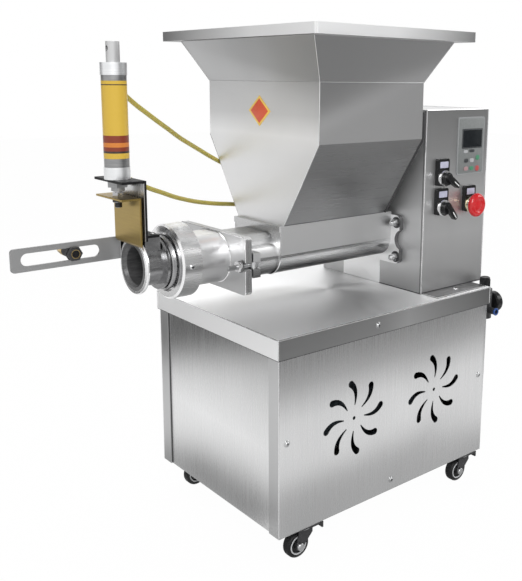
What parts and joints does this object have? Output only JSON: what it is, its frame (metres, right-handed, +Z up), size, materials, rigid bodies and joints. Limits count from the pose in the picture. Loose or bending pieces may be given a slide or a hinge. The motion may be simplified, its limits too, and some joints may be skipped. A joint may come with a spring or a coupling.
{
  "type": "dough divider",
  "caption": "Wheeled stainless dough divider: a hopper feeds twin screws that push dough through a nozzle, where an air-driven knife cuts it to a length set by a sliding sensor.",
  "frame": {"origin": "centre of the bounding box at floor level", "axes": "+X along the feed screws from the nozzle to the control tower, +Y to the side away from the controls, +Z up"},
  "size_m": [0.869, 0.434, 0.8625],
  "materials": {
    "stainless": "brushed stainless sheet",
    "polished": "polished stainless steel",
    "dark_metal": "dark grey coated steel",
    "brass": "gold-coloured metal",
    "steel": "machined steel",
    "aluminium": "satin",
    "motor_paint": "grey paint",
    "black_plastic": "matt",
    "red_plastic": "gloss",
    "switch_metal": "plated",
    "display": "light grey",
    "rubber": "matt",
    "tyre": "matt",
    "hose": "yellow, slightly translucent"
  },
  "bodies": {
    "base": {"cabinet_frame": "stainless", "bottom_tray": "stainless", "worktop": "stainless", "front_panel": "stainless", "rear_panel": "stainless", "end_panels": "stainless", "power_gland": "black_plastic", "machine_screws": "polished", "caster_plates": "dark_metal", "gear_motor": "motor_paint", "drive_belt": "rubber", "control_tower": "stainless", "tower_rear_cover": "stainless", "gear_case": "steel", "shaft_bearings": "steel", "inverter": "motor_paint", "display_module": "display", "legend_plates": "black_plastic", "switch_bases": "switch_metal", "hopper": "stainless", "feed_barrel": "stainless", "barrel_studs": "polished", "outlet_head": "polished", "locking_ring": "polished", "nozzle": "polished", "cutter_bracket": "dark_metal", "cylinder_tube": "aluminium", "cylinder_caps": "aluminium", "air_fittings": "black_plastic", "upper_air_hose": "hose", "lower_air_hose": "hose", "solenoid_valve": "aluminium", "sensor_arm": "stainless", "regulator_body": "dark_metal", "pressure_gauge": "black_plastic"},
    "cutter": {"knife": "brass", "piston_rod": "steel"},
    "drive": {"drive_screw": "polished", "drive_shaft": "steel", "driven_pulley": "steel"},
    "idler": {"idler_screw": "polished", "idler_shaft": "steel"},
    "motor_rotor": {"motor_pulley": "steel"},
    "sensor": {"sensor": "brass"},
    "selector_upper": {"selector_upper": "black_plastic"},
    "selector_lower": {"selector_lower": "black_plastic"},
    "stop_button": {"stop_button": "red_plastic"},
    "regulator_knob": {"regulator_knob": "black_plastic"},
    "swing_bolt_near": {"swing_bolt_near": "polished"},
    "swing_bolt_far": {"swing_bolt_far": "polished"},
    "caster_fork_1": {"caster_fork_1": "dark_metal"},
    "caster_wheel_1": {"caster_wheel_1": "tyre"},
    "caster_fork_2": {"caster_fork_2": "dark_metal"},
    "caster_wheel_2": {"caster_wheel_2": "tyre"},
    "caster_fork_3": {"caster_fork_3": "dark_metal"},
    "caster_wheel_3": {"caster_wheel_3": "tyre"},
    "caster_fork_4": {"caster_fork_4": "dark_metal"},
    "caster_wheel_4": {"caster_wheel_4": "tyre"},
    "brake_pedal_1": {"brake_pedal_1": "dark_metal"},
    "brake_pedal_2": {"brake_pedal_2": "dark_metal"}
  },
  "joints": [
    {"name": "knife_stroke", "type": "slide", "parent": "base", "child": "cutter", "axis": [0, 0, -1], "range_m": [0, 0.075]},
    {"name": "drive_spin", "type": "hinge", "parent": "base", "child": "drive", "pos_m": [0.1295, -0.025, 0.491], "axis": [1, 0, 0], "continuous": true},
    {"name": "idler_spin", "type": "hinge", "parent": "base", "child": "idler", "pos_m": [0.1295, 0.025, 0.491], "axis": [1, 0, 0], "continuous": true},
    {"name": "motor_spin", "type": "hinge", "parent": "base", "child": "motor_rotor", "pos_m": [0.3245, -0.025, 0.15], "axis": [1, 0, 0], "continuous": true},
    {"name": "sensor_slide", "type": "slide", "parent": "base", "child": "sensor", "axis": [1, 0, 0], "range_m": [-0.071, 0.032]},
    {"name": "selector_upper_turn", "type": "hinge", "parent": "base", "child": "selector_upper", "pos_m": [0.2825, -0.152, 0.607], "axis": [0, -1, 0], "range_deg": [0, 70]},
    {"name": "selector_lower_turn", "type": "hinge", "parent": "base", "child": "selector_lower", "pos_m": [0.2825, -0.152, 0.553], "axis": [0, -1, 0], "range_deg": [0, 70]},
    {"name": "stop_press", "type": "slide", "parent": "base", "child": "stop_button", "axis": [0, 1, 0], "range_m": [0, 0.004], "stiffness_N_per_m": 2000},
    {"name": "regulator_turn", "type": "hinge", "parent": "base", "child": "regulator_knob", "pos_m": [0.4015, -0.159, 0.383], "axis": [0, 0, 1], "range_deg": [0, 330]},
    {"name": "swing_bolt_near_turn", "type": "hinge", "parent": "base", "child": "swing_bolt_near", "pos_m": [-0.1015, -0.088, 0.491], "axis": [0, 0, 1], "range_deg": [0, 95]},
    {"name": "swing_bolt_far_turn", "type": "hinge", "parent": "base", "child": "swing_bolt_far", "pos_m": [-0.1015, 0.088, 0.491], "axis": [0, 0, -1], "range_deg": [0, 95]},
    {"name": "caster_swivel_1", "type": "hinge", "parent": "base", "child": "caster_fork_1", "pos_m": [-0.0585, -0.158, 0.052], "axis": [0, 0, 1], "continuous": true},
    {"name": "caster_roll_1", "type": "hinge", "parent": "caster_fork_1", "child": "caster_wheel_1", "pos_m": [-0.0695, -0.158, 0.0225], "axis": [0, 1, 0], "continuous": true},
    {"name": "caster_swivel_2", "type": "hinge", "parent": "base", "child": "caster_fork_2", "pos_m": [0.3475, -0.158, 0.052], "axis": [0, 0, 1], "continuous": true},
    {"name": "caster_roll_2", "type": "hinge", "parent": "caster_fork_2", "child": "caster_wheel_2", "pos_m": [0.3365, -0.158, 0.0225], "axis": [0, 1, 0], "continuous": true},
    {"name": "caster_swivel_3", "type": "hinge", "parent": "base", "child": "caster_fork_3", "pos_m": [-0.0585, 0.158, 0.052], "axis": [0, 0, 1], "continuous": true},
    {"name": "caster_roll_3", "type": "hinge", "parent": "caster_fork_3", "child": "caster_wheel_3", "pos_m": [-0.0695, 0.158, 0.0225], "axis": [0, 1, 0], "continuous": true},
    {"name": "caster_swivel_4", "type": "hinge", "parent": "base", "child": "caster_fork_4", "pos_m": [0.3475, 0.158, 0.052], "axis": [0, 0, 1], "continuous": true},
    {"name": "caster_roll_4", "type": "hinge", "parent": "caster_fork_4", "child": "caster_wheel_4", "pos_m": [0.3365, 0.158, 0.0225], "axis": [0, 1, 0], "continuous": true},
    {"name": "brake_pedal_turn_1", "type": "hinge", "parent": "caster_fork_1", "child": "brake_pedal_1", "pos_m": [-0.0465, -0.158, 0.0426], "axis": [0, 1, 0], "range_deg": [0, 15]},
    {"name": "brake_pedal_turn_2", "type": "hinge", "parent": "caster_fork_2", "child": "brake_pedal_2", "pos_m": [0.3595, -0.158, 0.0426], "axis": [0, 1, 0], "range_deg": [0, 15]}
  ],
  "couplings": [
    {"joint": "idler_spin", "follows": "drive_spin", "ratio": -1},
    {"joint": "motor_spin", "follows": "drive_spin", "ratio": 1.8125}
  ]
}
